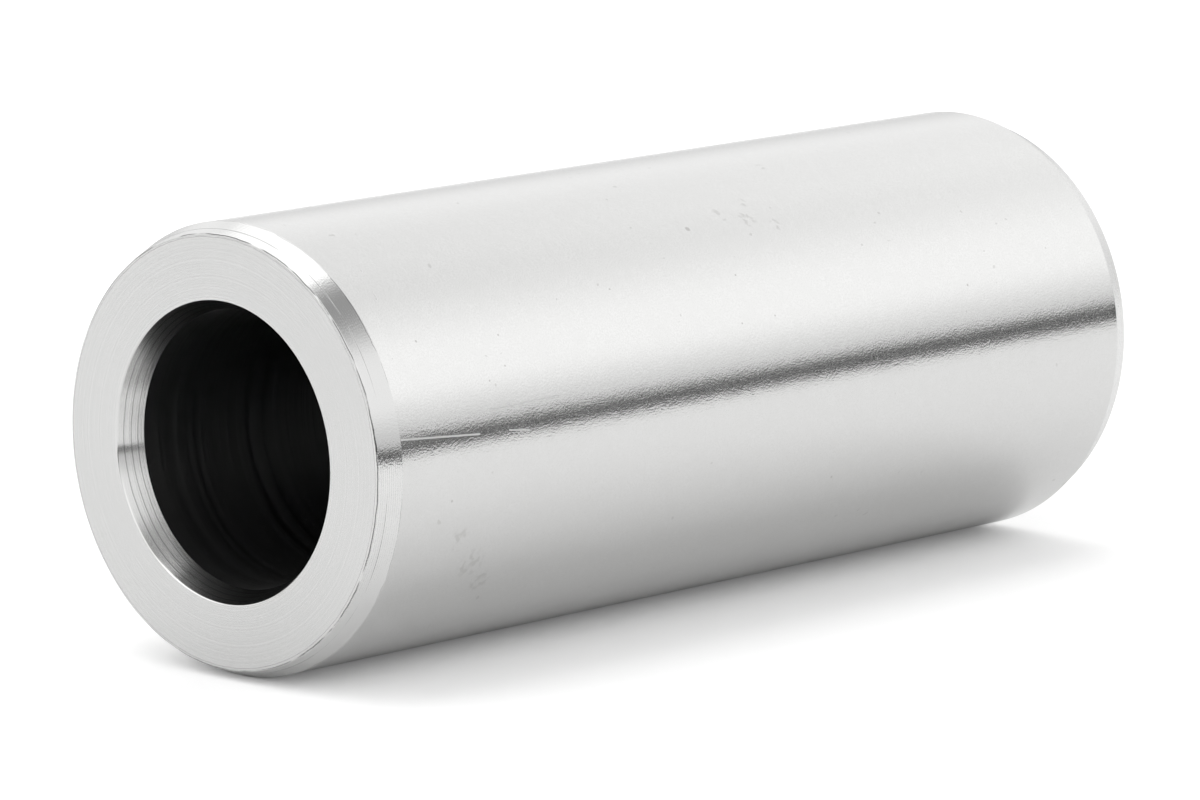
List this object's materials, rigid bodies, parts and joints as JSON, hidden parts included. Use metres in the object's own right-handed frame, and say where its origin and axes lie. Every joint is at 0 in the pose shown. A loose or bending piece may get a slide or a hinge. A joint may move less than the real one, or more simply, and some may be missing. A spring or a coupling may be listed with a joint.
{
  "type": "spacer sleeve",
  "caption": "Straight thick-walled steel tube, ground outside, with a plain through bore, flat faced ends and shallow lead-in chamfers inside and outside both ends.",
  "frame": {"origin": "centre of the lower end face, on the bore's axis; the sleeve stands on this end", "axes": "+Z along the bore's axis, from the lower end face to the upper one; the form is round, so X and Y are any two directions across it"},
  "size_m": [0.026, 0.026, 0.065],
  "materials": {
    "steel": "ground outside, finely turned faces and chamfers, bright and uncoated"
  },
  "bodies": {
    "root": {"spacer_sleeve": "steel"}
  },
  "joints": []
}
